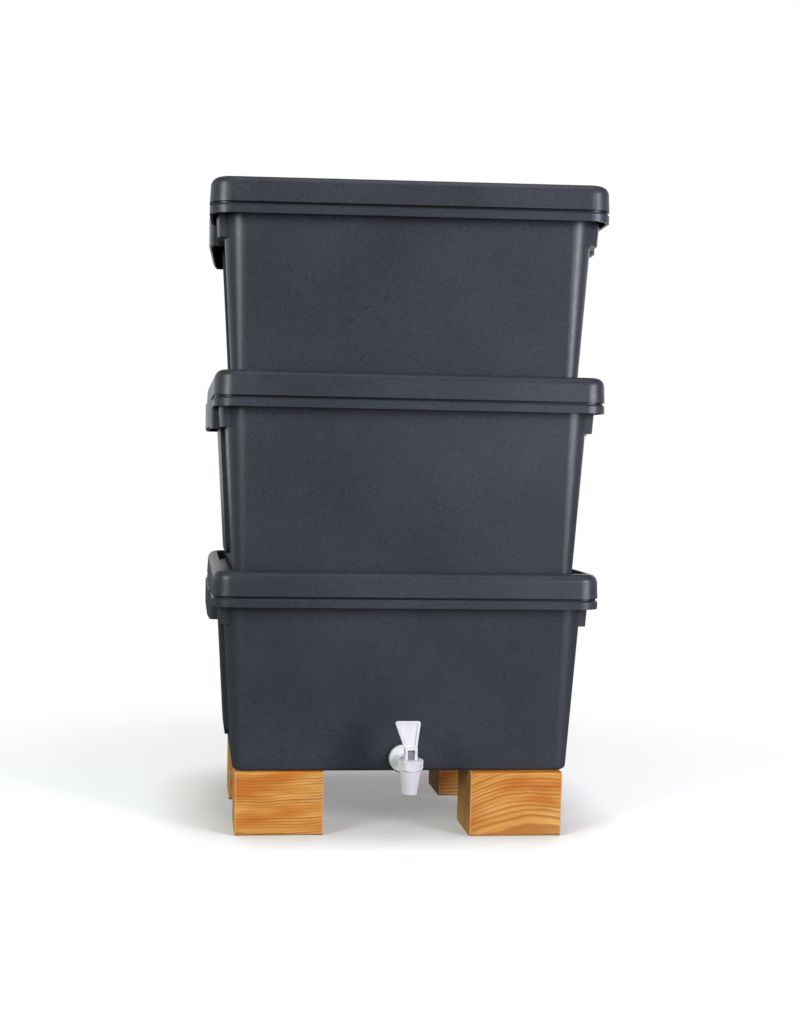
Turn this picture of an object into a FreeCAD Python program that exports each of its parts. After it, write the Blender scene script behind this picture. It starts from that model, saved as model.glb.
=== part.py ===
import FreeCAD, Part
import math
import os

from FreeCAD import Placement, Rotation, Vector

# A stacked wormery. Three tapered lidded boxes of one moulding stand on four timber blocks.
# The lowest is the sump, which a push tap drains. The two above it are the worm trays.
# Millimetres, +Z up, front towards -Y, origin on the ground under the middle of the whole.

# The box, moulded with a turned-down rim
rim_width = 400.0          # outside of the rim, left to right
rim_depth = 340.0          # outside of the rim, front to back
rim_corner = 22.0          # corner radius of the rim, seen from above
rim_height = 9.0           # height of the turned-down rim
rim_bevel = 1.8            # bevel along the top edge of the rim
rim_overhang = 13.5        # rim beyond the wall just below it
draft_inset = 10.0         # how far each wall leans in from under the rim to the base
body_height = 173.0        # base to the underside of the rim
body_corner = 24.0         # corner radius of the body just below the rim
base_edge = 5.0            # rounding where the walls turn into the base
wall = 3.0                 # wall of every box and lid

# The flat step on the rim that carries the lid, and the lip that keeps the lid in place
lid_bearing = 1.0          # width of the lid's lower edge that rests on the step
lip_clearance = 1.4        # between the lid's skirt and the foot of the lip
lip_wall = 2.4
lip_height = 14.0          # above the rim
lip_draft = 0.4            # how far the lip leans in towards its top

# Steps in the two side walls
shoulder_out = 7.0         # shoulder under the rim, out from the wall
shoulder_drop = 20.0       # how far the shoulder reaches below the rim
shoulder_setback = 24.0    # its end, behind the front or back of the rim
panel_out = 4.5            # raised panel below the shoulder, out from the wall
panel_width = 104.0        # front to back
panel_foot = 19.0          # bottom of the panel above the base
panel_corner = 12.0        # rounding of the panel's two lower corners

# Hand grips in the middle of both sides
grip_length = 185.0        # front to back along the rim
grip_run = 24.0            # length of the slanting ends
grip_out = 3.0             # grip beyond the rim
grip_drop = 21.0           # end plates below the rim
grip_bevel = 2.2           # bevel along the lower outer edge
grip_round = 2.5           # rounding of the grip's four upright corners
grip_root = 6.0            # how far the grip reaches in behind the face of the body

# The lid, the same for all three boxes but for the centre that is cut out of two of them
lid_gap = 2.0              # height of the step, an open line between rim and lid
lid_height = 25.0          # lower edge of the skirt to the top
lid_draft = 1.5            # how far the skirt leans in towards the top
lid_edge = 9.0             # rounding of the top outer edge
lid_inner_bevel = 4.0      # bevel inside, under that rounding
pan_clearance = 0.8        # between the lip and the pan that hangs inside it
recess_corner = 14.0       # corner radius of the recess
recess_draft = 0.5         # how far the recess wall leans in at its foot
sump_seat = 9.0            # depth of the recess in the sump's lid, where the lower tray stands
tray_seat = 21.0           # depth of the recess in the lower tray's lid
top_seat = 8.0             # depth of the recess in the top lid
ledge = 40.5               # width of the ledge that is left round a cut-out centre
cut_out_corner = 17.0      # corner radius of the cut-out

# Drain and worm holes in the base of each tray
hole_columns = 5           # left to right
hole_rows = 4              # front to back
hole_pitch = 55.0
hole_diameter = 10.0

# How the trays stand in the lids below them, as placed by hand, as shares of the play there
lower_twist = 0.10         # turned about the vertical, anticlockwise from above
lower_push = -0.10         # pushed to the right
upper_twist = -0.86
upper_push = 0.90

# Timber blocks, offcuts of a planed square post
block_side = 68.0          # height and depth
block_edge = 3.0           # rounding of the planed long edges
front_left_length = 92.0   # along the grain, left to right
front_right_length = 97.0
back_left_length = 92.0
back_right_length = 94.0
front_left_x = -128.0      # centre of each block, from the middle of the sump
front_left_y = -112.0
front_right_x = 120.0
front_right_y = -121.0
back_left_x = -129.0
back_left_y = 44.0
back_right_x = 118.0
back_right_y = 57.0

# The tap, in its own frame: shank along Y through the wall, barrel upright
shank_diameter = 15.8
shank_bore = 7.0
shank_reach = 17.0         # threaded length inside the box
hole_clearance = 0.4       # between the shank and the hole in the wall, all round
washer_diameter = 31.5
washer_thickness = 2.5
flange_diameter = 29.0
flange_thickness = 3.0
flange_bevel = 0.8
inner_washer_band = 1.6    # width of the ring round the shank
inner_washer_thickness = 2.0
inner_washer_gap = 0.3     # between the ring and the bevel at the foot of the wall
washer_fit = 0.05          # between a washer's or nut's hole and the shank, all round
backnut_wall = 1.1         # between the shank and each flat
backnut_thickness = 7.0
barrel_out = 50.0          # barrel axis in front of the wall
neck_diameter = 13.0
barrel_top_diameter = 21.8
spout_diameter = 15.2      # outside at the mouth
spout_bore = 12.0
spout_drop = 24.2          # mouth below the shank axis
spout_bevel = 0.9
seat_drop = 6.5            # valve seat below the shank axis
seat_bore = 8.0
seat_depth = 1.5           # thickness of the web that holds the seat
chamber_diameter = 16.0
collar_diameter = 19.0     # threaded collar that carries the bonnet nut
collar_height = 6.0

bonnet_wall = 2.15         # between the collar and each flat of the hexagonal bonnet nut
bonnet_trim = 0.51         # turned off each point of the hexagon
bonnet_low = 2.0           # underside of the nut above the shank axis
bonnet_height = 10.0
bonnet_roof = 2.8          # thickness of the nut's top
bonnet_bevel = 1.0
bonnet_room = 1.0          # cleared round the nut in the neck of the tap
thread_fit = 0.05          # between collar and nut, all round

stem_diameter = 5.0
stem_fit = 0.05            # between the stem and the nut's hole, all round
stem_head_width = 6.4      # flat head between the cheeks of the lever
stem_head_depth = 7.0
stem_button_diameter = 8.0
stem_button_thickness = 1.6
cup_diameter = 13.0        # rubber cup that closes the seat
cup_height = 7.5
cup_cover = 1.6            # rubber below the stem's button

spring_wall = 0.8
spring_diameter = 9.0      # outside

lever_pivot = 6.0          # pin axis above the nut's top
pin_diameter = 3.0
pin_fit = 0.04             # between the pin and its holes, all round
cheek_clearance = 0.3      # between the stem's head and each cheek of the lever
cheek_thickness = 2.7
slot_rise = 4.4            # top of the slot above the pin axis
foot_depth = 10.0          # front to back
foot_gap = 0.2             # between the lever's foot and the nut
foot_crown = 2.0           # solid above the slot
foot_round = 2.2
paddle_height = 32.4       # top of the paddle above the pin axis
paddle_width = 26.6        # at the top
paddle_sway = -3.0         # middle of the top edge, to the right of the base
paddle_thickness = 3.4
paddle_edge = 2.6          # width of the raised border
paddle_pocket = 1.1        # depth inside the border
paddle_corner = 2.4
lever_lean = 12.0          # degrees back from upright at rest

# Worked out from the sizes above
step_inset = wall - lid_bearing
lip_inset = wall + lip_clearance
lid_border = lip_inset + lip_wall + lip_draft + pan_clearance + wall
rim_top = body_height + rim_height
lid_foot = rim_top + lid_gap
lid_top = lid_foot + lid_height
lip_top = rim_top + lip_height
shoulder_low = body_height - shoulder_drop
grip_low = body_height - grip_drop
wall_slope = draft_inset / body_height
wall_angle = math.degrees(math.atan(wall_slope))
sump_base = block_side
lower_base = sump_base + lid_top - sump_seat
upper_base = lower_base + lid_top - tray_seat
inner_washer_diameter = shank_diameter + 2 * inner_washer_band
tap_height = base_edge + inner_washer_gap + inner_washer_diameter / 2
tap_outer_face = washer_thickness + flange_thickness
backnut_flats = shank_diameter + 2 * backnut_wall
bonnet_flats = collar_diameter + 2 * (thread_fit + bonnet_wall)
bonnet_corners = bonnet_flats / math.cos(math.radians(30)) - 2 * bonnet_trim
bonnet_top = bonnet_low + bonnet_height
pivot_height = bonnet_top + lever_pivot
seat_height = -seat_drop
button_height = seat_height + cup_cover
lever_slot = stem_head_width + 2 * cheek_clearance
lever_base_width = lever_slot + 2 * cheek_thickness
through = 10.0             # how far a cutting tool runs past what it cuts


def turned_half(half_across, half_along, corner, turn):
    """How far a rectangle with round corners reaches from its centre when turned about the vertical."""
    angle = math.radians(abs(turn))
    across = (half_across - corner) * math.cos(angle)
    return across + (half_along - corner) * math.sin(angle) + corner


def wall_half(span, z):
    """Half the outside of the drafted body at height z; span is the rim's width or depth."""
    return span / 2 - rim_overhang - wall_slope * (body_height - z)


def wall_corner(z):
    """Corner radius of the drafted body at height z."""
    return body_corner - wall_slope * (body_height - z)


def largest_turn(seat):
    """Degrees that a tray can be turned in a recess before its corners meet the front and back."""
    room = rim_depth / 2 - lid_border - wall_half(rim_depth, seat)
    return math.degrees(math.atan(room / (wall_half(rim_width, seat) - wall_corner(seat))))


def side_play(seat, turn):
    """Room on either side of a turned tray, at the floor or the mouth of a recess, whichever is less."""
    room = []
    for z, half in ((0, rim_width / 2 - lid_border - recess_draft), (seat, rim_width / 2 - lid_border)):
        across = wall_half(rim_width, z)
        reach = turned_half(across, wall_half(rim_depth, z), wall_corner(z), turn)
        if z > panel_foot:
            reach = max(reach, turned_half(across + panel_out, panel_width / 2, 0, turn))
        room.append(half - reach)
    return min(room)


def rim_reach(turn):
    """How far the rim and the hand grips of a turned box reach to either side."""
    rim = turned_half(rim_width / 2, rim_depth / 2, rim_corner, turn)
    grip = turned_half(rim_width / 2 + grip_out, grip_length / 2 - grip_run, 0, turn)
    return max(rim, grip)


# Where the trays stand: each is turned and pushed in the recess below it
lower_turn = lower_twist * largest_turn(sump_seat)
upper_turn = lower_turn + upper_twist * largest_turn(tray_seat)
lower_shift = lower_push * side_play(sump_seat, lower_turn)
upper_shift = lower_shift + upper_push * side_play(tray_seat, upper_turn - lower_turn)

# The middle of the whole lies over the origin, so the stack stands off to one side and back
tap_reach = (barrel_out + bonnet_corners / 2) * math.cos(math.radians(wall_angle))
front_reach = wall_half(rim_depth, tap_height) + tap_reach
back_reach = turned_half(rim_depth / 2, rim_width / 2, rim_corner, upper_turn)
left_reach = max(rim_reach(0), rim_reach(lower_turn) - lower_shift, rim_reach(upper_turn) - upper_shift)
right_reach = max(rim_reach(0), rim_reach(lower_turn) + lower_shift, rim_reach(upper_turn) + upper_shift)
stack_x = (left_reach - right_reach) / 2
stack_y = (front_reach - back_reach) / 2


# Plan outlines and the solids raised from them

def rounded_outline(width, depth, radius, z):
    """A rectangle with round corners, centred on the axis, at height z."""
    x = width / 2
    y = depth / 2
    near = math.cos(math.radians(45)) * radius
    corners = []
    for side_x, side_y in ((1, -1), (1, 1), (-1, 1), (-1, -1)):
        centre = Vector(side_x * (x - radius), side_y * (y - radius), z)
        along_x = centre + Vector(side_x * radius, 0, 0)
        along_y = centre + Vector(0, side_y * radius, 0)
        middle = centre + Vector(side_x * near, side_y * near, 0)
        first, last = (along_y, along_x) if side_x * side_y < 0 else (along_x, along_y)
        corners.append((first, middle, last))
    edges = []
    for index, (first, middle, last) in enumerate(corners):
        edges.append(Part.Arc(first, middle, last).toShape())
        edges.append(Part.LineSegment(last, corners[(index + 1) % 4][0]).toShape())
    return Part.Wire(edges)


def rim_outline(inset, z):
    """The outline of the rim, drawn in by the given amount."""
    return rounded_outline(rim_width - 2 * inset, rim_depth - 2 * inset, rim_corner - inset, z)


def body_outline(out, z):
    """The outline of the drafted body at height z, moved out by the given amount."""
    width = 2 * (wall_half(rim_width, z) + out)
    depth = 2 * (wall_half(rim_depth, z) + out)
    return rounded_outline(width, depth, wall_corner(z) + out, z)


def recess_outline(inset, z):
    """The outline of the recess in a lid, drawn in by the given amount."""
    width = rim_width - 2 * (lid_border + inset)
    depth = rim_depth - 2 * (lid_border + inset)
    return rounded_outline(width, depth, recess_corner - inset, z)


def upright(outline, height):
    """An upright block on an outline."""
    return Part.Face(outline).extrude(Vector(0, 0, height))


def tapered(low, high):
    """A solid between two outlines, with flat sides and conical corners."""
    return Part.makeLoft([low, high], True, True)


def body_block(out, z_low, z_high):
    """The drafted body between two heights, moved out by the given amount on every side."""
    return tapered(body_outline(out, z_low), body_outline(out, z_high))


def centred_box(width, depth, z_low, z_high):
    """A plain block about the axis."""
    return Part.makeBox(width, depth, z_high - z_low, Vector(-width / 2, -depth / 2, z_low))


def flat_edges(shape, z):
    """The edges that lie at height z."""
    found = []
    for edge in shape.Edges:
        box = edge.BoundBox
        if abs(box.ZMin - z) < 0.001 and abs(box.ZMax - z) < 0.001:
            found.append(edge)
    return found


def upright_edges(shape, beyond_x):
    """The upright edges further out than a given distance to either side."""
    found = []
    for edge in shape.Edges:
        box = edge.BoundBox
        straight_up = box.ZLength > 1 and box.XLength < 0.001 and box.YLength < 0.001
        if straight_up and abs(box.XMin) > beyond_x:
            found.append(edge)
    return found


# The box

def shoulders(inset):
    """The four shoulders under the rim, between the hand grips and the corners."""
    block = body_block(shoulder_out - inset, shoulder_low, rim_top)
    half_length = rim_depth / 2 - shoulder_setback - inset
    reach = centred_box(2 * rim_width, 2 * half_length, shoulder_low + inset, rim_top)
    grips = centred_box(2 * rim_width, grip_length + 2 * inset, shoulder_low, rim_top)
    return block.common(reach.cut(grips))


def raised_panel(inset):
    """The panel in each side wall, its lower corners rounded."""
    half = panel_width / 2 - inset
    foot = panel_foot + inset
    top = shoulder_low + inset
    radius = panel_corner - inset
    near = radius * (1 - math.cos(math.radians(45)))
    right = Part.LineSegment(Vector(0, half, top), Vector(0, half, foot + radius))
    right_arc = Part.Arc(Vector(0, half, foot + radius),
                         Vector(0, half - near, foot + near),
                         Vector(0, half - radius, foot))
    base = Part.LineSegment(Vector(0, half - radius, foot), Vector(0, radius - half, foot))
    left_arc = Part.Arc(Vector(0, radius - half, foot),
                        Vector(0, near - half, foot + near),
                        Vector(0, -half, foot + radius))
    left = Part.LineSegment(Vector(0, -half, foot + radius), Vector(0, -half, top))
    head = Part.LineSegment(Vector(0, -half, top), Vector(0, half, top))
    sides = [side.toShape() for side in (right, right_arc, base, left_arc, left, head)]
    prism = Part.Face(Part.Wire(sides)).extrude(Vector(2 * rim_width, 0, 0))
    prism.translate(Vector(-rim_width, 0, 0))
    return body_block(panel_out - inset, panel_foot, top).common(prism)


def grip_outline(side, inset, z):
    """Plan of a hand grip: straight along the outside, slanting back to the rim at both ends."""
    half = grip_length / 2 - inset
    root = wall_half(rim_width, body_height) - grip_root + inset
    rim = rim_width / 2 - inset
    outer = rim + grip_out
    front_half = [(root, -half), (rim, -half), (outer, grip_run - half)]
    back_half = [(x, -y) for x, y in reversed(front_half)]
    points = [Vector(side * x, y, z) for x, y in front_half + back_half]
    return Part.makePolygon(points + points[:1])


def make_grip(side):
    """One grip: a downturned skirt with end plates, its lower outer edge bevelled."""
    block = upright(grip_outline(side, 0, grip_low), rim_top - grip_low)
    block = block.makeFillet(grip_round, upright_edges(block, rim_width / 2 - 1))
    outer = rim_width / 2 + grip_out
    over = 1.0
    corners = [Vector(side * (outer + over), -grip_length, grip_low - over),
               Vector(side * (outer - grip_bevel - over), -grip_length, grip_low - over),
               Vector(side * (outer + over), -grip_length, grip_low + grip_bevel + over)]
    wedge = Part.Face(Part.makePolygon(corners + corners[:1]))
    return block.cut(wedge.extrude(Vector(0, 2 * grip_length, 0)))


def finger_space(side):
    """The hollow of a grip, open below."""
    return upright(grip_outline(side, wall, grip_low - through), rim_top - wall - grip_low + through)


def make_rim():
    """The turned-down rim with its grips, and the step on top that carries the lid."""
    rim = upright(rim_outline(0, body_height), rim_height)
    rim = rim.makeChamfer(rim_bevel, flat_edges(rim, rim_top))
    step = upright(rim_outline(step_inset, rim_top), lid_gap)
    under = upright(rim_outline(wall, body_height), rim_height - wall)
    rim = rim.fuse(step).cut(under)
    for side in (-1, 1):
        rim = rim.fuse(make_grip(side)).cut(finger_space(side))
    return rim


def make_box(drilled, tapped):
    """One box. The trays have a drilled base and the sump has a hole for the tap."""
    outer = body_block(0, 0, rim_top)
    outer = outer.makeFillet(base_edge, flat_edges(outer, 0))
    outer = outer.fuse([shoulders(0), raised_panel(0)])

    cavity = body_block(-wall, wall, rim_top)
    cavity = cavity.makeChamfer(base_edge - wall, flat_edges(cavity, wall))
    cavity = cavity.fuse([shoulders(wall), raised_panel(wall)])

    lip = tapered(rim_outline(lip_inset, lid_foot), rim_outline(lip_inset + lip_draft, lip_top))
    mouth_inset = lip_inset + lip_wall
    mouth = tapered(rim_outline(mouth_inset, rim_top), rim_outline(mouth_inset + lip_draft, lip_top))

    box = outer.fuse([make_rim(), lip]).cut([cavity, mouth])
    if drilled:
        box = box.cut(drain_holes())
    if tapped:
        box = box.cut(at_tap(along_shank(shank_diameter + 2 * hole_clearance, -through, through)))
    return box.removeSplitter()


def drain_holes():
    """The grid of holes through a tray's base."""
    holes = []
    left = -hole_pitch * (hole_columns - 1) / 2
    front = -hole_pitch * (hole_rows - 1) / 2
    for row in range(hole_rows):
        for column in range(hole_columns):
            place = Vector(left + column * hole_pitch, front + row * hole_pitch, -through)
            holes.append(Part.makeCylinder(hole_diameter / 2, wall + 2 * through, place))
    return holes


# The lid

def make_lid(seat, cut_out):
    """One lid, with its recessed top either whole or cut out to a ledge."""
    shell = tapered(rim_outline(0, lid_foot), rim_outline(lid_draft, lid_top))
    shell = shell.makeFillet(lid_edge, flat_edges(shell, lid_top))
    roof = lid_top - wall
    inside = tapered(rim_outline(wall, lid_foot), rim_outline(wall + lid_draft, roof))
    inside = inside.makeChamfer(lid_inner_bevel, flat_edges(inside, roof))

    floor = lid_top - seat
    recess = tapered(recess_outline(recess_draft, floor), recess_outline(0, lid_top))
    pan = upright(recess_outline(-wall, floor - wall), seat + wall / 2)
    lid = shell.cut(inside).fuse(pan).cut(recess)
    if cut_out:
        width = rim_width - 2 * (lid_border + ledge)
        depth = rim_depth - 2 * (lid_border + ledge)
        outline = rounded_outline(width, depth, cut_out_corner, floor - through)
        lid = lid.cut(upright(outline, 2 * through))
    return lid.removeSplitter()


# Timber blocks

def make_block(x, y, length):
    """One offcut on the ground, its long edges rounded by the planer and its ends sawn square."""
    corner = Vector(x + stack_x - length / 2, y + stack_y - block_side / 2, 0)
    block = Part.makeBox(length, block_side, block_side, corner)
    long_edges = [edge for edge in block.Edges if edge.BoundBox.XLength > length / 2]
    return block.makeFillet(block_edge, long_edges)


# The tap

def at_tap(shape):
    """Moves a shape from the tap's own frame to the front wall of a box at rest on z = 0."""
    moved = shape.copy()
    outer_face = Vector(0, -wall_half(rim_depth, tap_height), tap_height)
    leaning = Placement(outer_face, Rotation(Vector(1, 0, 0), wall_angle))
    moved.Placement = leaning.multiply(moved.Placement)
    return moved


def along_shank(diameter, y_low, y_high):
    """A cylinder on the shank's axis."""
    return Part.makeCylinder(diameter / 2, y_high - y_low, Vector(0, y_low, 0), Vector(0, 1, 0))


def along_barrel(diameter, z_low, z_high):
    """A cylinder on the barrel's axis."""
    return Part.makeCylinder(diameter / 2, z_high - z_low, Vector(0, -barrel_out, z_low))


def along_pin(diameter, length):
    """A cylinder on the lever's pivot."""
    start = Vector(-length / 2, -barrel_out, pivot_height)
    return Part.makeCylinder(diameter / 2, length, start, Vector(1, 0, 0))


def barrel_block(width, depth, z_low, z_high):
    """A plain block about the barrel's axis."""
    block = centred_box(width, depth, z_low, z_high)
    block.translate(Vector(0, -barrel_out, 0))
    return block


def hexagon(flats, centre, normal, height):
    """A hexagonal prism with one flat facing the front or the ground."""
    radius = flats / math.cos(math.radians(30)) / 2
    points = []
    for step in range(7):
        angle = math.radians(60 * step)
        points.append(Vector(radius * math.cos(angle), radius * math.sin(angle), 0))
    prism = Part.Face(Part.makePolygon(points)).extrude(Vector(0, 0, height))
    prism.Placement = Placement(centre, Rotation(Vector(0, 0, 1), normal))
    return prism


def make_tap_body():
    """Shank, flange, neck and barrel in one moulding, with the passage to the spout."""
    shank = along_shank(shank_diameter, -washer_thickness, wall + shank_reach)
    flange = along_shank(flange_diameter, -tap_outer_face, -washer_thickness)
    front = [edge for edge in flange.Edges if edge.BoundBox.YMax < 0.001 - tap_outer_face]
    flange = flange.makeChamfer(flange_bevel, front)
    neck = along_shank(neck_diameter, -barrel_out, -tap_outer_face)
    spout = Part.makeCone(spout_diameter / 2, barrel_top_diameter / 2, spout_drop + bonnet_low,
                          Vector(0, -barrel_out, -spout_drop))
    spout = spout.makeChamfer(spout_bevel, flat_edges(spout, -spout_drop))
    nut_space = along_barrel(bonnet_corners + 2 * bonnet_room, bonnet_low, bonnet_top)
    collar = along_barrel(collar_diameter, bonnet_low, bonnet_low + collar_height)
    body = shank.fuse([flange, neck, spout]).cut(nut_space).fuse(collar)

    passage = along_shank(shank_bore, -barrel_out, wall + shank_reach)
    chamber = along_barrel(chamber_diameter, seat_height, bonnet_low + collar_height)
    seat = along_barrel(seat_bore, seat_height - seat_depth, seat_height)
    outlet = along_barrel(spout_bore, -spout_drop, seat_height - seat_depth)
    return body.cut([passage, chamber, seat, outlet]).removeSplitter()


def make_bonnet_nut():
    """The hexagonal nut that closes the valve chamber and guides the stem."""
    centre = Vector(0, -barrel_out, bonnet_low)
    nut = hexagon(bonnet_flats, centre, Vector(0, 0, 1), bonnet_height)
    turned = along_barrel(bonnet_corners, bonnet_low, bonnet_top)
    ends = flat_edges(turned, bonnet_low) + flat_edges(turned, bonnet_top)
    turned = turned.makeChamfer(bonnet_bevel, ends)
    threads = along_barrel(collar_diameter + 2 * thread_fit, bonnet_low, bonnet_top - bonnet_roof)
    hole = along_barrel(stem_diameter + 2 * stem_fit, bonnet_low, bonnet_top)
    return nut.common(turned).cut([threads, hole])


def make_washer(diameter, y_low, thickness):
    """A flat ring on the shank."""
    ring = along_shank(diameter, y_low, y_low + thickness)
    return ring.cut(along_shank(shank_diameter + 2 * washer_fit, y_low, y_low + thickness))


def make_backnut():
    """The hexagonal nut inside the sump."""
    start = wall + inner_washer_thickness
    nut = hexagon(backnut_flats, Vector(0, start, 0), Vector(0, 1, 0), backnut_thickness)
    return nut.cut(along_shank(shank_diameter + 2 * washer_fit, start, start + backnut_thickness))


def make_stem():
    """The valve stem: button in the cup, rod through the bonnet, flat head for the pin."""
    button = along_barrel(stem_button_diameter, button_height, button_height + stem_button_thickness)
    rod = along_barrel(stem_diameter, button_height, bonnet_top + foot_gap)
    head = barrel_block(stem_head_width, stem_head_depth, bonnet_top + foot_gap, pivot_height)
    crown = along_pin(stem_head_depth, stem_head_width)
    stem = rod.fuse([button, head, crown])
    return stem.cut(along_pin(pin_diameter + 2 * pin_fit, 2 * stem_head_width)).removeSplitter()


def make_cup():
    """The rubber cup that closes the seat, moulded round the stem's button."""
    cup_top = seat_height + cup_height
    cup = along_barrel(cup_diameter, seat_height, cup_top)
    button_space = along_barrel(stem_button_diameter, button_height, button_height + stem_button_thickness)
    rod_space = along_barrel(stem_diameter, button_height, cup_top)
    return cup.cut([button_space, rod_space])


def make_spring():
    """The closing spring between the cup and the roof of the nut, as the sleeve that it fills."""
    low = seat_height + cup_height
    high = bonnet_top - bonnet_roof
    sleeve = along_barrel(spring_diameter, low, high)
    return sleeve.cut(along_barrel(spring_diameter - 2 * spring_wall, low, high))


def paddle_outline(inset):
    """Front view of the lever's blade, wider at the top."""
    low = pivot_height + slot_rise - inset
    high = pivot_height + paddle_height - inset
    half_low = lever_base_width / 2 - inset
    half_high = paddle_width / 2 - inset
    plan = [(-half_low, low), (half_low, low),
            (paddle_sway + half_high, high), (paddle_sway - half_high, high)]
    points = [Vector(x, -barrel_out - paddle_thickness / 2, z) for x, z in plan]
    return Part.makePolygon(points + points[:1])


def make_lever():
    """The push lever: two cheeks over the stem's head, and a blade with a raised border."""
    foot_low = bonnet_top + foot_gap
    slot_top = pivot_height + slot_rise
    foot_top = slot_top + foot_crown
    foot = barrel_block(lever_base_width, foot_depth, foot_low, foot_top)
    shoulders_of_foot = [edge for edge in flat_edges(foot, foot_top) if edge.BoundBox.YLength < 0.001]
    foot = foot.makeFillet(foot_round, shoulders_of_foot)

    blade = Part.Face(paddle_outline(0)).extrude(Vector(0, paddle_thickness, 0))
    top_corners = []
    for edge in blade.Edges:
        across = edge.BoundBox.YLength > paddle_thickness / 2
        if across and edge.BoundBox.ZMin > pivot_height + paddle_height / 2:
            top_corners.append(edge)
    blade = blade.makeFillet(paddle_corner, top_corners)
    pocket = Part.Face(paddle_outline(paddle_edge)).extrude(Vector(0, paddle_pocket, 0))
    above_foot = barrel_block(2 * paddle_width, 2 * paddle_width, foot_top, pivot_height + paddle_height)
    blade = blade.cut(pocket.common(above_foot))
    blade.rotate(Vector(0, -barrel_out, pivot_height), Vector(1, 0, 0), -lever_lean)

    slot = barrel_block(lever_slot, 2 * foot_depth, foot_low - through, slot_top)
    pin_hole = along_pin(pin_diameter + 2 * pin_fit, 2 * lever_base_width)
    return foot.fuse(blade).cut([slot, pin_hole]).removeSplitter()


# Placing and saving

def on_stack(shape, base, shift, turn):
    """Stands a box or a lid on the stack."""
    moved = shape.copy()
    centre = Vector(stack_x + shift, stack_y, base)
    standing = Placement(centre, Rotation(Vector(0, 0, 1), turn))
    moved.Placement = standing.multiply(moved.Placement)
    return moved


def save(name, shape):
    """Writes one piece and prints its size."""
    shape.exportStep("parts/" + name + ".step")
    state = "valid" if shape.isValid() else "NOT VALID"
    print(name, len(shape.Solids), "solid", round(shape.Volume / 1000, 2), "cm3", state)


os.makedirs("parts", exist_ok=True)

save("sump_box", on_stack(make_box(False, True), sump_base, 0, 0))
save("sump_lid", on_stack(make_lid(sump_seat, True), sump_base, 0, 0))
save("lower_tray", on_stack(make_box(True, False), lower_base, lower_shift, lower_turn))
save("lower_tray_lid", on_stack(make_lid(tray_seat, True), lower_base, lower_shift, lower_turn))
save("upper_tray", on_stack(make_box(True, False), upper_base, upper_shift, upper_turn))
save("top_lid", on_stack(make_lid(top_seat, False), upper_base, upper_shift, upper_turn))

save("block_front_left", make_block(front_left_x, front_left_y, front_left_length))
save("block_front_right", make_block(front_right_x, front_right_y, front_right_length))
save("block_back_left", make_block(back_left_x, back_left_y, back_left_length))
save("block_back_right", make_block(back_right_x, back_right_y, back_right_length))

tap_pieces = {
    "tap_body": make_tap_body(),
    "tap_bonnet_nut": make_bonnet_nut(),
    "tap_outer_washer": make_washer(washer_diameter, -washer_thickness, washer_thickness),
    "tap_inner_washer": make_washer(inner_washer_diameter, wall, inner_washer_thickness),
    "tap_backnut": make_backnut(),
    "tap_stem": make_stem(),
    "tap_seat_cup": make_cup(),
    "tap_spring": make_spring(),
    "tap_lever": make_lever(),
    "tap_lever_pin": along_pin(pin_diameter, lever_base_width),
}
for name, piece in tap_pieces.items():
    save(name, on_stack(at_tap(piece), sump_base, 0, 0))

pivot = on_stack(at_tap(Part.Vertex(0, -barrel_out, pivot_height)), sump_base, 0, 0).BoundBox
print("lever pivot", round(pivot.XMin, 3), round(pivot.YMin, 3), round(pivot.ZMin, 3))
print("wall angle", round(wall_angle, 4), "stack centre", round(stack_x, 3), round(stack_y, 3))
print("bases", sump_base, lower_base, upper_base)
print("shifts", round(lower_shift, 3), round(upper_shift, 3), "turns", round(lower_turn, 3), round(upper_turn, 3))
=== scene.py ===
import bpy
import math
from mathutils import Matrix, Vector


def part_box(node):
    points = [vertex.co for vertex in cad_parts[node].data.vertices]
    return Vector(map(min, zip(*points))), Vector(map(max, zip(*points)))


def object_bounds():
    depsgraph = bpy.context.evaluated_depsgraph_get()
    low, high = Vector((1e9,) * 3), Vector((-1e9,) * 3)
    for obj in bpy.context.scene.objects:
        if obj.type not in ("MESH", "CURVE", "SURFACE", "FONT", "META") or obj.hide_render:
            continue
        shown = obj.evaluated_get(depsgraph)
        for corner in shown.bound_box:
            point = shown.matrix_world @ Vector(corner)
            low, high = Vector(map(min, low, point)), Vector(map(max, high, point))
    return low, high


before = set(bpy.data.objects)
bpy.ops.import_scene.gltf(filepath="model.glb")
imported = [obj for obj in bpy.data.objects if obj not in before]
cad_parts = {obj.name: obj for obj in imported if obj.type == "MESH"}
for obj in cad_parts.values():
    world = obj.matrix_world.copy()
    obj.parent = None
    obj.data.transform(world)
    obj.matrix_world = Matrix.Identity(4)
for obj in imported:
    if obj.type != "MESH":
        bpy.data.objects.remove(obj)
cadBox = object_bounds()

# A stacked wormery: three lidded boxes of one moulding on four pine blocks, with a push tap in the sump.
# Metres, +Z up, front towards -Y. Settings whose names end in Mm are millimetres.


def linear(hexColour):
    # each channel: c / 12.92 in the darks, ((c + 0.055) / 1.055) to the power 2.4 above them
    channels = [int(hexColour[i:i + 2], 16) / 255 for i in (1, 3, 5)]
    return [c / 12.92 if c <= 0.04045 else ((c + 0.055) / 1.055) ** 2.4 for c in channels] + [1.0]


def metres(sizeMm):
    # size / 1000
    return sizeMm / 1000


def perMetre(sizeMm):
    # texture scale = 1000 / size, so that one cell is about this many millimetres
    return 1000 / sizeMm


def addNode(tree, kind, settings, inputs):
    # one new node: an input is linked where a socket is given, and set where a value is
    node = tree.nodes.new(kind)
    for name, value in settings.items():
        setattr(node, name, value)
    for name, value in inputs.items():
        if isinstance(value, bpy.types.NodeSocket):
            tree.links.new(value, node.inputs[name])
        else:
            node.inputs[name].default_value = value
    return node


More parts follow.
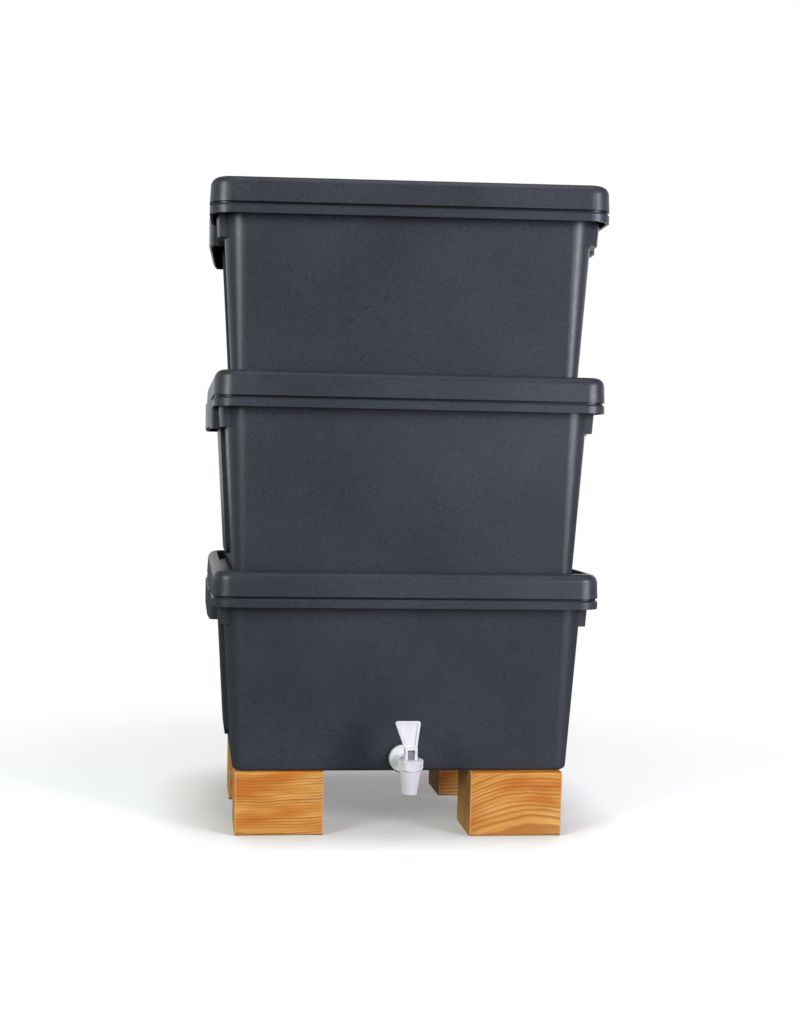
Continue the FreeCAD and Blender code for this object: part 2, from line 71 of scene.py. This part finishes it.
def newMaterial(name):
    # a material with an empty node tree
    material = bpy.data.materials.new(name)
    material.use_nodes = True
    tree = material.node_tree
    tree.nodes.clear()
    return material, tree


def finishMaterial(tree, shader):
    # the shader becomes the surface
    addNode(tree, "ShaderNodeOutputMaterial", {}, {"Surface": shader})


def ownPlace(tree):
    # the object's own coordinates, so that a pattern moves with its piece
    return addNode(tree, "ShaderNodeTexCoord", {}, {}).outputs["Object"]


def split(tree, vector):
    # X, Y and Z of a vector
    return addNode(tree, "ShaderNodeSeparateXYZ", {}, {"Vector": vector}).outputs


def join(tree, parts):
    # a vector of the parts that are given, with 0 for the others
    return addNode(tree, "ShaderNodeCombineXYZ", {}, parts).outputs["Vector"]


def measure(tree, vector):
    # length = root of (x squared + y squared + z squared)
    return addNode(tree, "ShaderNodeVectorMath", {"operation": "LENGTH"}, {0: vector}).outputs["Value"]


def calculate(tree, operation, first, second=0.0, third=0.0):
    # MULTIPLY_ADD is first x second + third; COMPARE is 1 where first is within third of second, else 0
    inputs = {0: first, 1: second, 2: third}
    return addNode(tree, "ShaderNodeMath", {"operation": operation}, inputs).outputs["Value"]


def rescale(tree, value, span, results, smooth=False):
    # linear or smooth change between the two results while the value crosses the span, held beyond both ends
    kind = "SMOOTHSTEP" if smooth else "LINEAR"
    inputs = {"Value": value, "From Min": span[0], "From Max": span[1],
              "To Min": results[0], "To Max": results[1]}
    return addNode(tree, "ShaderNodeMapRange", {"interpolation_type": kind}, inputs).outputs["Result"]


def noise(tree, place, sizeMm, detail, roughness=0.5, seed=None):
    # smooth noise about 0.5 with features of about this size; each seed is another draw of the same kind
    settings = {} if seed is None else {"noise_dimensions": "4D"}
    inputs = {"Vector": place, "Scale": perMetre(sizeMm), "Detail": detail, "Roughness": roughness}
    if seed is not None:
        inputs["W"] = seed
    return addNode(tree, "ShaderNodeTexNoise", settings, inputs).outputs["Fac"]


def rampBetween(tree, factor, stops):
    # straight blends between the colours of neighbouring stops
    ramp = addNode(tree, "ShaderNodeValToRGB", {}, {"Fac": factor})
    elements = ramp.color_ramp.elements
    while len(elements) < len(stops):
        elements.new(0.5)
    for element, (place, hexColour) in zip(elements, stops):
        element.position = place
        element.color = linear(hexColour)
    return ramp.outputs["Color"]


def mixed(tree, amount, base, over, blend="MIX"):
    # MIX is base + amount x (over - base); MULTIPLY at full amount is base x over
    inputs = {"Fac": amount, "Color1": base, "Color2": over}
    return addNode(tree, "ShaderNodeMixRGB", {"blend_type": blend}, inputs).outputs["Color"]


def bumped(tree, height, strength, depthMm):
    # normal tilted by the slope of (height x depth)
    inputs = {"Height": height, "Strength": strength, "Distance": metres(depthMm)}
    return addNode(tree, "ShaderNodeBump", {}, inputs).outputs["Normal"]


def principled(tree, inputs):
    # the standard surface with these inputs
    return addNode(tree, "ShaderNodeBsdfPrincipled", {}, inputs).outputs["BSDF"]


# The moulded boxes and lids

boxFinish = {
    "mottleMm": 120, "mottleDetail": 3.0, "mottle": [(0.3, "#33353D"), (0.5, "#383B44"), (0.72, "#3E414C")],
    "speckMm": 1.6, "speckDetail": 1.0, "speck": [(0.34, "#CFCFCF"), (0.5, "#F0F0F0"), (0.66, "#FFFFFF")],
    "paintedGapShade": "#08090A", "groovesMm": (251, 451, 639), "grooveHalfMm": 1.1,
    "grainMm": 2.2, "grainDetail": 2.0, "grainRoughness": 0.6, "grainStrength": 0.8, "grainDepthMm": 0.04,
    "grainSpan": (0.3, 0.7), "rough": (0.34, 0.44), "ior": 1.49,
}


def polypropylene(name):
    # Injection-moulded polypropylene from a spark-eroded mould: matt, with a fine grain and soft wide
    # highlights. The real grain is under 1 mm, so it is drawn at about 2 mm to show at all.
    # Colour = cloudy anthracite x fine specks. The open line under each lid is painted shade, coloured
    # nearly black at all heights within the half width of a groove. Roughness rises with the grain.
    material, tree = newMaterial(name)
    place = ownPlace(tree)
    mottle = noise(tree, place, boxFinish["mottleMm"], boxFinish["mottleDetail"])
    speck = noise(tree, place, boxFinish["speckMm"], boxFinish["speckDetail"])
    colour = mixed(tree, 1.0, rampBetween(tree, mottle, boxFinish["mottle"]),
                   rampBetween(tree, speck, boxFinish["speck"]), "MULTIPLY")
    height = split(tree, place)["Z"]
    # painted shade: the gap under each lid is coloured nearly black, standing for the shade in it
    inPaintedGapShade = 0.0
    for grooveMm in boxFinish["groovesMm"]:
        near = calculate(tree, "COMPARE", height, metres(grooveMm), metres(boxFinish["grooveHalfMm"]))
        inPaintedGapShade = calculate(tree, "MAXIMUM", near, inPaintedGapShade)
    colour = mixed(tree, inPaintedGapShade, colour, linear(boxFinish["paintedGapShade"]))
    grain = noise(tree, place, boxFinish["grainMm"], boxFinish["grainDetail"], boxFinish["grainRoughness"])
    finishMaterial(tree, principled(tree, {
        "Base Color": colour, "IOR": boxFinish["ior"],
        "Roughness": rescale(tree, grain, boxFinish["grainSpan"], boxFinish["rough"]),
        "Normal": bumped(tree, grain, boxFinish["grainStrength"], boxFinish["grainDepthMm"]),
    }))
    return material


# The pine blocks

pineFinish = {
    "ground": [(0.34, "#E8A95C"), (0.5, "#DC9440"), (0.64, "#CE7522")],
    "driftMm": 14, "driftDetail": 1.0, "driftAlong": 0.2, "driftSeed": 7,
    "late": "#A85E16", "lateRise": (0.35, 0.82), "lateFall": (0.88, 1.0), "faintestRing": 0.2,
    "waveSizeMm": 38, "waveDetail": 1.5,
    "pore": "#B47028", "fibreMm": 2.0, "fibreDetail": 3.0, "fibreRoughness": 0.6, "fibreAlong": 0.05,
    "streakSpan": (0.52, 0.68), "streakMost": 0.75,
    "worn": "#E2B274", "wornMm": 2.0, "wornMost": 0.55,
    "fibreStrength": 0.5, "fibreDepthMm": 0.2, "roughness": 0.55,
}

# Pith: depth in front of the block's front face, height above the floor and place aside of its middle.
# Bow: metres of rise per metre squared along the block.
blocks = {
    "block_front_left": {"name": "planed_pine_straight", "depthMm": 22, "heightMm": -95, "asideMm": -20,
                         "bow": -0.8, "ringMm": 3.1, "waveMm": 5, "seed": 1.0},
    "block_front_right": {"name": "planed_pine_flamed", "depthMm": 24, "heightMm": 8, "asideMm": 18,
                          "bow": 3.6, "ringMm": 3.5, "waveMm": 6, "seed": 2.0},
    "block_back_left": {"name": "planed_pine_back_left", "depthMm": 30, "heightMm": -80, "asideMm": 0,
                        "bow": 0.5, "ringMm": 3.6, "waveMm": 6, "seed": 3.0},
    "block_back_right": {"name": "planed_pine_back_right", "depthMm": 40, "heightMm": 90, "asideMm": 10,
                         "bow": 1.0, "ringMm": 3.6, "waveMm": 8, "seed": 4.0},
}


def planedPine(node, block):
    # Pine planed along the grain and sawn across at the ends: dark summer-wood lines of uneven strength on
    # warm orange-tan that drifts from ring to ring, fine streaks along the grain and paler sawn edges.
    # A ring is a cylinder about a pith that runs along X:
    # ring number = (distance from the pith + slow waves) / ring width. The trunk bows upwards by
    # bow x (distance along it from the pith's middle) squared, which draws the arches of flat-sawn boards.
    # Darkness = rise and fall within the ring x the ring's own strength.
    low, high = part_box(node)
    middle = (low + high) / 2
    half = (high - low) / 2
    material, tree = newMaterial(block["name"])
    aside = metres(block["asideMm"])
    pith = [middle.x + aside, low.y - metres(block["depthMm"]), metres(block["heightMm"])]
    fromPith = addNode(tree, "ShaderNodeVectorMath", {"operation": "SUBTRACT"}, {0: ownPlace(tree), 1: pith})
    parts = split(tree, fromPith.outputs["Vector"])
    squared = calculate(tree, "MULTIPLY", parts["X"], parts["X"])
    bowed = calculate(tree, "MULTIPLY_ADD", squared, block["bow"], parts["Z"])
    radius = measure(tree, join(tree, {"Y": parts["Y"], "Z": bowed}))
    inTrunk = join(tree, {"X": parts["X"], "Y": parts["Y"], "Z": bowed})

    wave = noise(tree, inTrunk, pineFinish["waveSizeMm"], pineFinish["waveDetail"], seed=block["seed"])
    waved = calculate(tree, "MULTIPLY_ADD", wave, metres(block["waveMm"]), radius)
    ringNumber = calculate(tree, "MULTIPLY", waved, perMetre(block["ringMm"]))
    inRing = calculate(tree, "FRACT", ringNumber)
    strength = addNode(tree, "ShaderNodeTexWhiteNoise", {"noise_dimensions": "1D"},
                       {"W": calculate(tree, "FLOOR", ringNumber)}).outputs["Value"]
    late = calculate(tree, "MULTIPLY", rescale(tree, inRing, pineFinish["lateRise"], (0.0, 1.0), True),
                     rescale(tree, inRing, pineFinish["lateFall"], (1.0, 0.0), True))
    darkness = calculate(tree, "MULTIPLY", late,
                         rescale(tree, strength, (0.0, 1.0), (pineFinish["faintestRing"], 1.0)))

    driftAlong = calculate(tree, "MULTIPLY", parts["X"], pineFinish["driftAlong"])
    onRings = join(tree, {"X": driftAlong, "Y": radius, "Z": parts["Y"]})
    drift = noise(tree, onRings, pineFinish["driftMm"], pineFinish["driftDetail"],
                  seed=block["seed"] + pineFinish["driftSeed"])
    colour = rampBetween(tree, drift, pineFinish["ground"])
    colour = mixed(tree, darkness, colour, linear(pineFinish["late"]))

    stretched = addNode(tree, "ShaderNodeMapping", {"vector_type": "POINT"},
                        {"Vector": inTrunk, "Scale": [pineFinish["fibreAlong"], 1.0, 1.0]}).outputs["Vector"]
    fibre = noise(tree, stretched, pineFinish["fibreMm"], pineFinish["fibreDetail"],
                  pineFinish["fibreRoughness"])
    streak = rescale(tree, fibre, pineFinish["streakSpan"], (0.0, pineFinish["streakMost"]), True)
    colour = mixed(tree, streak, colour, linear(pineFinish["pore"]))

    fromMiddle = calculate(tree, "ABSOLUTE", calculate(tree, "SUBTRACT", parts["X"], -aside))
    wornSpan = (half.x - metres(pineFinish["wornMm"]), half.x)
    worn = rescale(tree, fromMiddle, wornSpan, (0.0, pineFinish["wornMost"]), True)
    finishMaterial(tree, principled(tree, {
        "Base Color": mixed(tree, worn, colour, linear(pineFinish["worn"])),
        "Roughness": pineFinish["roughness"],
        "Normal": bumped(tree, fibre, pineFinish["fibreStrength"], pineFinish["fibreDepthMm"]),
    }))
    return material


# The tap

mouldingFinish = {
    "cloudMm": 12, "cloudSpan": (0.3, 0.7), "detail": 2.0, "grainStrength": 0.25, "grainDepthMm": 0.05,
}


def plainFinish(name, hexLow, hexHigh, rough, grainMm):
    # Even colour with the slightest cloudiness: low where the cloud is thin, high where it is dense,
    # and a faint grain of the given size.
    material, tree = newMaterial(name)
    place = ownPlace(tree)
    cloud = noise(tree, place, mouldingFinish["cloudMm"], mouldingFinish["detail"])
    colour = rampBetween(tree, cloud, list(zip(mouldingFinish["cloudSpan"], (hexLow, hexHigh))))
    grain = noise(tree, place, grainMm, mouldingFinish["detail"])
    normal = bumped(tree, grain, mouldingFinish["grainStrength"], mouldingFinish["grainDepthMm"])
    finishMaterial(tree, principled(tree, {"Base Color": colour, "Roughness": rough, "Normal": normal}))
    return material


boxPlastic = polypropylene("grained_polypropylene")
# Injection-moulded in a polished mould: smooth, off-white and slightly glossy.
tapPlastic = plainFinish("white_acetal", "#DFDAE1", "#E9E4EB", 0.35, 1.5)
# Moulded in the same plastic, a little duller; its mid grey is painted shade for the stem in the lever's
# slot.
stemShadePlastic = plainFinish("acetal_grey_painted_shade", "#7C7C81", "#8B8B90", 0.45, 1.5)
# Pressed and cured: dull dark grey with a fine bloom.
sealRubber = plainFinish("nitrile_rubber", "#3C4044", "#4A4E53", 0.45, 0.8)
# Drawn through a die: pale grey with a soft sheen.
pinSteel = plainFinish("drawn_steel", "#A6A8AA", "#B4B6B8", 0.35, 0.6)
pine = {node: planedPine(node, block) for node, block in blocks.items()}
print("materials made")

finishes = {
    "sump_box": boxPlastic, "sump_lid": boxPlastic, "lower_tray": boxPlastic, "lower_tray_lid": boxPlastic,
    "upper_tray": boxPlastic, "top_lid": boxPlastic,
    "tap_body": tapPlastic, "tap_bonnet_nut": tapPlastic, "tap_backnut": tapPlastic, "tap_lever": tapPlastic,
    "tap_stem": stemShadePlastic, "tap_outer_washer": sealRubber, "tap_inner_washer": sealRubber,
    "tap_seat_cup": sealRubber, "tap_spring": pinSteel, "tap_lever_pin": pinSteel, **pine,
}
for node, material in finishes.items():
    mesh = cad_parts[node].data
    mesh.materials.clear()
    mesh.materials.append(material)
print("CAD nodes finished")


# Floor, light and camera

# The floor's reach and the span of its fade are metres from its middle.
floorFinish = {
    "reach": 8.0, "white": "#F2F2F2", "unseen": "#706E6A", "lift": 0.48,
    "contactMm": 110, "contactSamples": 8, "contactSpan": (0.55, 1.0), "contactShade": (0.55, 1.0),
    "fadeSpan": (0.40, 0.75),
}


def makeFloor():
    # Near the object the floor shows its shadow, with soft contact shading at the feet of the blocks:
    # seen floor = (white x light + lift) x shade. Further out it fades to the white of the background,
    # by a smooth step of the distance from the middle. Only the camera sees it white: to the plastic it
    # is a mid grey, as an ordinary floor would be.
    mesh = bpy.data.meshes.new("floor")
    reach = floorFinish["reach"]
    corners = [(-reach, -reach, 0), (reach, -reach, 0), (reach, reach, 0), (-reach, reach, 0)]
    mesh.from_pydata(corners, [], [(0, 1, 2, 3)])
    floor = bpy.data.objects.new("floor", mesh)
    bpy.context.scene.collection.objects.link(floor)
    material, tree = newMaterial("matt_white_floor")
    seen = addNode(tree, "ShaderNodeLightPath", {}, {}).outputs["Is Camera Ray"]
    contact = addNode(tree, "ShaderNodeAmbientOcclusion", {"samples": floorFinish["contactSamples"]},
                      {"Distance": metres(floorFinish["contactMm"])}).outputs["AO"]
    shade = rescale(tree, contact, floorFinish["contactSpan"], floorFinish["contactShade"])
    seenColour = mixed(tree, shade, [0, 0, 0, 1], linear(floorFinish["white"]))
    colour = mixed(tree, seen, linear(floorFinish["unseen"]), seenColour)
    plain = addNode(tree, "ShaderNodeBsdfDiffuse", {}, {"Color": colour})
    lift = calculate(tree, "MULTIPLY", calculate(tree, "MULTIPLY", seen, floorFinish["lift"]), shade)
    glow = addNode(tree, "ShaderNodeEmission", {}, {"Color": [1, 1, 1, 1], "Strength": lift})
    near = addNode(tree, "ShaderNodeAddShader", {}, {0: plain.outputs["BSDF"], 1: glow.outputs["Emission"]})
    outward = rescale(tree, measure(tree, ownPlace(tree)), floorFinish["fadeSpan"], (0.0, 1.0), True)
    white = addNode(tree, "ShaderNodeEmission", {}, {"Color": [1, 1, 1, 1], "Strength": 1.0})
    fade = calculate(tree, "MULTIPLY", outward, seen)
    both = addNode(tree, "ShaderNodeMixShader", {},
                   {0: fade, 1: near.outputs["Shader"], 2: white.outputs["Emission"]})
    finishMaterial(tree, both.outputs["Shader"])
    mesh.materials.append(material)


# Spans are of the direction's Z (up) or Y (back); strengths are of white light.
sky = {
    "fillSpan": (0.1, 0.8), "fill": (0.50, 0.05),
    "backSpan": (-0.3, 0.7), "back": (0.05, 1.0), "upSpan": (0.1, 0.6), "up": (1.0, 0.15),
}


def makeWorld():
    # White to the camera all round. To the object it is bright near the horizon and dim overhead, and in
    # reflections it is bright behind and dark in front, as outdoors with one's back to a dark wall:
    # strength = 1 where seen, back x up for reflections, fill for all other rays.
    world = bpy.data.worlds.new("studio")
    bpy.context.scene.world = world
    world.use_nodes = True
    tree = world.node_tree
    tree.nodes.clear()
    path = addNode(tree, "ShaderNodeLightPath", {}, {}).outputs
    parts = split(tree, addNode(tree, "ShaderNodeTexCoord", {}, {}).outputs["Generated"])
    fill = rescale(tree, parts["Z"], sky["fillSpan"], sky["fill"], True)
    gloss = calculate(tree, "MULTIPLY", rescale(tree, parts["Y"], sky["backSpan"], sky["back"], True),
                      rescale(tree, parts["Z"], sky["upSpan"], sky["up"], True))
    glossGain = calculate(tree, "SUBTRACT", gloss, fill)
    unseen = calculate(tree, "MULTIPLY_ADD", path["Is Glossy Ray"], glossGain, fill)
    seen = calculate(tree, "MAXIMUM", path["Is Camera Ray"], path["Is Transmission Ray"])
    seenGain = calculate(tree, "SUBTRACT", 1.0, unseen)
    strength = calculate(tree, "MULTIPLY_ADD", seen, seenGain, unseen)
    background = addNode(tree, "ShaderNodeBackground", {}, {"Color": [1, 1, 1, 1], "Strength": strength})
    addNode(tree, "ShaderNodeOutputWorld", {}, {"Surface": background.outputs["Background"]})


# The key and left lamps are tall, so that they draw the upright light strips on the round corners.
lamps = {
    "key": {"place": (1.40, -1.45, 0.70), "size": (0.7, 1.1), "power": 36, "hex": "#F1F3FF"},
    "left": {"place": (-1.45, -1.35, 1.05), "size": (0.6, 1.2), "power": 31, "hex": "#E8F5EC"},
    "over": {"place": (0.3, -0.3, 2.4), "size": (1.4, 1.4), "power": 7, "hex": "#FFFFFF"},
    "back": {"place": (0.7, 1.7, 0.6), "size": (1.2, 0.8), "power": 6, "hex": "#F6F4F0"},
}


def makeLamp(name, settings):
    # a soft rectangular lamp that faces the middle of the object
    lamp = bpy.data.lights.new(name, "AREA")
    lamp.shape = "RECTANGLE"
    lamp.size, lamp.size_y = settings["size"]
    lamp.energy = settings["power"]
    lamp.color = linear(settings["hex"])[:3]
    holder = bpy.data.objects.new(name, lamp)
    bpy.context.scene.collection.objects.link(holder)
    place = Vector(settings["place"])
    target = (Vector(cadBox[0]) + Vector(cadBox[1])) / 2
    holder.location = place
    holder.rotation_euler = (target - place).to_track_quat("-Z", "Y").to_euler()


# Place: right and front of the middle of the sump's lid, and above the floor. Pitch is downwards, in degrees.
view = {
    "ahead": (0.09639, 0.99534), "rightMm": -227.2, "frontMm": -1565.3, "heightMm": 388.5,
    "pitch": 6.124, "roll": 1.014, "lensMm": 48.97, "sensorMm": 36, "shift": (0.0785, 0.0937),
}


def makeCamera():
    # The photograph's viewpoint: place and direction fitted to the edges of the three boxes, with a
    # shift because the photograph's middle isn't where its camera points.
    # Direction = level direction x cos(pitch), less sin(pitch) in height, then rolled about itself.
    low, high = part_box("sump_lid")
    middle = (low + high) / 2
    data = bpy.data.cameras.new("camera")
    data.sensor_width = view["sensorMm"]
    data.lens = view["lensMm"]
    data.shift_x, data.shift_y = view["shift"]
    camera = bpy.data.objects.new("camera", data)
    bpy.context.scene.collection.objects.link(camera)
    pitch = math.radians(view["pitch"])
    ahead = Vector((*view["ahead"], 0)).normalized() * math.cos(pitch)
    ahead.z = -math.sin(pitch)
    facing = ahead.to_track_quat("-Z", "Y").to_matrix().to_4x4()
    turned = facing @ Matrix.Rotation(math.radians(view["roll"]), 4, "Z")
    place = Vector((middle.x + metres(view["rightMm"]), middle.y + metres(view["frontMm"]),
                    metres(view["heightMm"])))
    camera.matrix_world = Matrix.Translation(place) @ turned
    bpy.context.scene.camera = camera


makeFloor()
makeWorld()
for lampName, lampSettings in lamps.items():
    makeLamp(lampName, lampSettings)
makeCamera()
bpy.context.scene.view_settings.view_transform = "Standard"
print("studio made")
